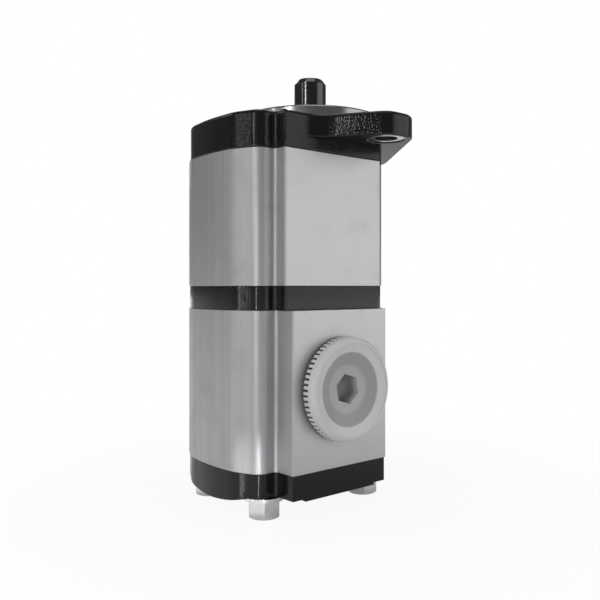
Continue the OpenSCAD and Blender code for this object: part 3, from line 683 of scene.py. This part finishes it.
class PUMP_OT_fasteners(bpy.types.Operator):
    """Clamping studs, nuts and washers in bright zinc plate"""

    bl_idname = "pump.fasteners"
    bl_label = "Fasteners"

    def execute(self, context):
        edge = context.scene.pump_sizes.small_edge
        zinc = plated("zinc_plate", context.scene.pump_colours.zinc[:])
        turn = Matrix.Rotation(NUT_TURN, 3, "Z")
        for node, name in (("stud_nuts", "hexagon_nuts"), ("stud_washers", "flat_washers")):
            shape = merged_copy(node)
            for side_x in (-1, 1):
                for side_y in (-1, 1):
                    x, y = CASE_X + side_x * STUD_X, side_y * STUD_Y
                    ring = [vert for vert in shape.verts if near_axis(vert.co, x, y, WASHER_REACH)]
                    bmesh.ops.rotate(shape, cent=(x, y, 0), matrix=turn, verts=ring)
            round_edges(shape, edge, everywhere, 2)
            add_piece(shape, name, "housing", [zinc], node)
        add_piece(merged_copy("clamp_studs"), "stud_rods", "housing", [zinc], "clamp_studs")
        return {"FINISHED"}


class PUMP_OT_shaft(bpy.types.Operator):
    """Drive shaft with its ground end, the snap ring and the lip seal"""

    bl_idname = "pump.shaft"
    bl_label = "Shaft"

    def execute(self, context):
        edge = context.scene.pump_sizes.small_edge
        colours = context.scene.pump_colours
        shape = merged_copy("drive_shaft")
        round_edges(shape, edge, lambda point: point.z > 0, 2)
        steel = turned("ground_shaft_steel", colours.steel[:], 0.1, pitch=0.2 * MM, depth=0.002 * MM)
        add_piece(shape, "ground_drive_shaft", "drive_train", [steel], "drive_shaft")
        shape = merged_copy("seal_retaining_ring")
        round_edges(shape, edge, everywhere, 2)
        ring = turned("blackened_spring_steel", (0.07, 0.07, 0.075), 0.3)
        add_piece(shape, "snap_ring", "housing", [ring], "seal_retaining_ring")
        shape = merged_copy("shaft_lip_seal")
        round_edges(shape, edge, everywhere, 2)
        lip = rubber("nitrile_lip")
        add_piece(shape, "radial_lip_seal", "housing", [lip], "shaft_lip_seal")
        return {"FINISHED"}


class PUMP_OT_plug(bpy.types.Operator):
    """Screw plug with its ribbed head, dish, key socket and threaded shank, and its sealing ring"""

    bl_idname = "pump.plug"
    bl_label = "Plug"

    def execute(self, context):
        sizes = context.scene.pump_sizes
        shape = cut_away(merged_copy("inlet_plug"), dish_tool())
        round_edges(shape, sizes.plug_rim, lambda point: (
            point.y < PLUG_LOW[1] + 0.5 * MM
            and math.hypot(point.x - PLUG_X, point.z - PLUG_Z) > RIM_R - RIM_W), 4)
        round_edges(shape, sizes.plug_edge, lambda point: point.y > PLUG_LOW[1] + 1.5 * MM, 2)
        shank_end = Vector((PLUG_X, PLUG_HIGH[1] - SHANK_LEAD, PLUG_Z))
        shape = cut_away(shape, thread_tool(
            shank_end, (0, -1, 0), SHANK_R, SHANK_R - SHANK_THREAD_H, SHANK_PITCH, SHANK_THREAD))
        plastic = moulding("moulded_plug", context.scene.pump_colours.plug[:], plug_shadow)
        add_piece(shape, "ribbed_screw_plug", "screw_plug", [plastic], "inlet_plug")
        shape = merged_copy("inlet_plug_seal")
        round_edges(shape, sizes.small_edge, everywhere, 2)
        ring = rubber("nitrile_ring")
        add_piece(shape, "plug_sealing_ring", "plug_washer", [ring], "inlet_plug_seal")
        return {"FINISHED"}


class PUMP_OT_inner_finishes(bpy.types.Operator):
    """Finishes of the gears, blocks, bushes, seals and dowels that the case closes in"""

    bl_idname = "pump.inner_finishes"
    bl_label = "Inner finishes"

    def execute(self, context):
        steel = shade(context.scene.pump_colours.steel[:], 1.3)
        gear = turned("hardened_gear_steel", steel, 0.22, pitch=0.25 * MM)
        idler = turned("hardened_idler_steel", steel, 0.22, (-2 * GEAR_OFFSET, 0, 0))
        finishes = {
            "rear_drive_gear": gear, "shaft_coupling": gear, "dowel_pins": gear,
            "front_driven_gear": idler, "rear_driven_gear": idler,
            "lip_seal_spring": plated("bright_spring_wire", (0.55, 0.55, 0.56)),
        }
        alloy = milled("bearing_alloy", (0.42, 0.42, 0.41))
        bronze = turned("bushing_bronze", (0.55, 0.36, 0.17), 0.3)
        strip = moulding("backup_strip", (0.72, 0.7, 0.64))
        nitrile = rubber("nitrile_gasket")
        endings = (
            ("_block", alloy), ("_bushes", bronze), ("_backup", strip),
            ("_gasket", nitrile), ("_block_seal", nitrile))
        for name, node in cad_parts.items():
            for ending, material in endings:
                if name.endswith(ending):
                    finishes[name] = material
            if name in finishes:
                for slot in node.material_slots:
                    slot.material = finishes[name]
        return {"FINISHED"}


def soft_box(name, place, target, width, height, power, spread=math.pi):
    """Rectangular lamp that looks at a target and stays out of the picture."""
    lamp = bpy.data.lights.new(name, "AREA")
    lamp.shape = "RECTANGLE"
    lamp.size = width
    lamp.size_y = height
    lamp.energy = power
    lamp.spread = spread
    thing = bpy.data.objects.new(name, lamp)
    thing.location = place
    thing.rotation_euler = (Vector(target) - Vector(place)).to_track_quat("-Z", "Y").to_euler()
    thing.visible_camera = False
    bpy.context.scene.collection.objects.link(thing)


def white_world(level):
    """World that the camera sees as white, and that lights the object at a plain level."""
    world = bpy.data.worlds.new("studio")
    bpy.context.scene.world = world
    world.use_nodes = True
    tree = world.node_tree
    background = tree.nodes["Background"]
    background.inputs["Color"].default_value = (1, 1, 1, 1)
    strength = tree.nodes.new("ShaderNodeMapRange")
    strength.inputs["To Min"].default_value = level
    path = tree.nodes.new("ShaderNodeLightPath")
    tree.links.new(path.outputs["Is Camera Ray"], strength.inputs["Value"])
    tree.links.new(strength.outputs[0], background.inputs["Strength"])


def pale_floor(colour):
    """Floor that keeps the object's soft shadow and fades to white.

    What metal mirrors of it is dim close to the object and white further off, and past the case's left end
    it is white even close by: painted light that the nuts' left facets mirror.
    """
    shape = bmesh.new()
    bmesh.ops.create_circle(shape, cap_ends=True, segments=64, radius=FLOOR_R)
    bmesh.ops.translate(shape, vec=(0, 0, FLOOR_Z), verts=shape.verts)
    mesh = bpy.data.meshes.new("floor")
    shape.to_mesh(mesh)
    shape.free()
    floor = bpy.data.objects.new("floor", mesh)
    bpy.context.scene.collection.objects.link(floor)
    finish = Finish("pale_floor", Roughness=0.9, Specular_IOR_Level=0.1, Base_Color=(*colour, 1))
    tree = finish.tree
    away = finish.radius((0, 0, 0), "Z")
    seen = finish.node("ShaderNodeLightPath", output="Is Camera Ray") * away.between(0.05, 0.35, 0.93, 1.0)
    # Painted light: past the case's left end, metal mirrors the floor as white even close to the object,
    # which brightens the nuts' left facets
    painted_light = finish.axis("X").between(PAINTED_LIGHT_X - PAINTED_LIGHT_FADE, PAINTED_LIGHT_X, 1.0, 0.0)
    mirror = away.between(0.08, 0.3, 0.2, 1.0).greatest(painted_light)
    mirrored = finish.node("ShaderNodeLightPath", output="Is Glossy Ray") * mirror
    glow = tree.nodes.new("ShaderNodeEmission")
    mix = tree.nodes.new("ShaderNodeMixShader")
    tree.links.new((seen + mirrored).socket, mix.inputs[0])
    tree.links.new(finish.shader.outputs[0], mix.inputs[1])
    tree.links.new(glow.outputs[0], mix.inputs[2])
    tree.links.new(mix.outputs[0], tree.nodes["Material Output"].inputs["Surface"])
    mesh.materials.append(finish.material)


class PUMP_OT_stage(bpy.types.Operator):
    """Pale floor, soft studio lamps and the camera"""

    bl_idname = "pump.stage"
    bl_label = "Stage"

    def execute(self, context):
        settings = context.scene.pump_stage
        white_world(settings.world_level)
        pale_floor(settings.floor_colour[:])
        target = (CASE_X, 0, (CAD_BOX[0][2] + CAD_BOX[1][2]) / 2)
        soft_box("key_box", (0.95, -1.15, 0.1), target, 1.3, 1.3, 7)
        soft_box("side_box", (-0.92, 0.85, 0.72), target, 0.6, 0.5, 1.8)
        soft_box("strip_left", (-1.16, 0.12, 0.12), target, 0.02, 0.9, 1)
        soft_box("strip_high", (-1.08, -0.36, 0.34), target, 0.03, 0.3, 1.8)
        soft_box("strip_front", (-0.85, -0.67, -0.07), target, 0.06, 0.34, 1.2)
        for name, place, seen_in, width, power in (
                ("glint_left", (-0.1171, -0.0255), (-0.0773, -0.0297), 0.5 * MM, 0.0003),
                ("glint_right", (-0.0936, -0.0722), (-0.0718, -0.0387), 1.2 * MM, 0.0012)):
            soft_box(name, (*place, GLINT_Z), (*seen_in, GLINT_Z), width, GLINT_H, power, GLINT_SPREAD)
        soft_box("top_box", (-0.1, -0.2, 1.3), target, 0.9, 0.9, 4)
        soft_box("back_box", (0.6, 1.3, 0.6), target, 0.9, 0.9, 5)
        camera = bpy.data.cameras.new("camera")
        camera.lens = settings.lens
        camera.sensor_width = 36
        camera.shift_y = settings.horizon_shift
        camera.clip_start = 0.01
        thing = bpy.data.objects.new("camera", camera)
        thing.location = settings.camera_place
        thing.rotation_euler = (math.pi / 2, 0, settings.camera_turn)
        context.scene.collection.objects.link(thing)
        context.scene.camera = thing
        context.scene.view_settings.view_transform = "Standard"
        return {"FINISHED"}


class PUMP_PT_build(bpy.types.Panel):
    """Lists the pump's pieces in the sidebar"""

    bl_label = "Gear Pump"
    bl_space_type = "VIEW_3D"
    bl_region_type = "UI"
    bl_category = "Pump"

    def draw(self, context):
        for operator in OPERATORS:
            self.layout.operator(operator.bl_idname)
        for group in (context.scene.pump_sizes, context.scene.pump_colours, context.scene.pump_stage):
            for words in group.bl_rna.properties.keys():
                if words not in ("rna_type", "name"):
                    self.layout.prop(group, words)


OPERATORS = (
    PUMP_OT_flange, PUMP_OT_cases, PUMP_OT_fasteners, PUMP_OT_shaft, PUMP_OT_plug,
    PUMP_OT_inner_finishes, PUMP_OT_stage,
)
GROUPS = {"pump_sizes": PumpSizes, "pump_colours": PumpColours, "pump_stage": PumpStage}


def register():
    for kind in (*GROUPS.values(), *OPERATORS, PUMP_PT_build):
        bpy.utils.register_class(kind)
    for name, group in GROUPS.items():
        setattr(bpy.types.Scene, name, bpy.props.PointerProperty(type=group))


def unregister():
    for name in GROUPS:
        delattr(bpy.types.Scene, name)
    for kind in (PUMP_PT_build, *OPERATORS, *GROUPS.values()):
        bpy.utils.unregister_class(kind)


def main():
    register()
    bpy.ops.pump.flange()
    bpy.ops.pump.cases()
    bpy.ops.pump.fasteners()
    bpy.ops.pump.shaft()
    bpy.ops.pump.plug()
    bpy.ops.pump.inner_finishes()
    bpy.ops.pump.stage()


if __name__ == "__main__":
    main()
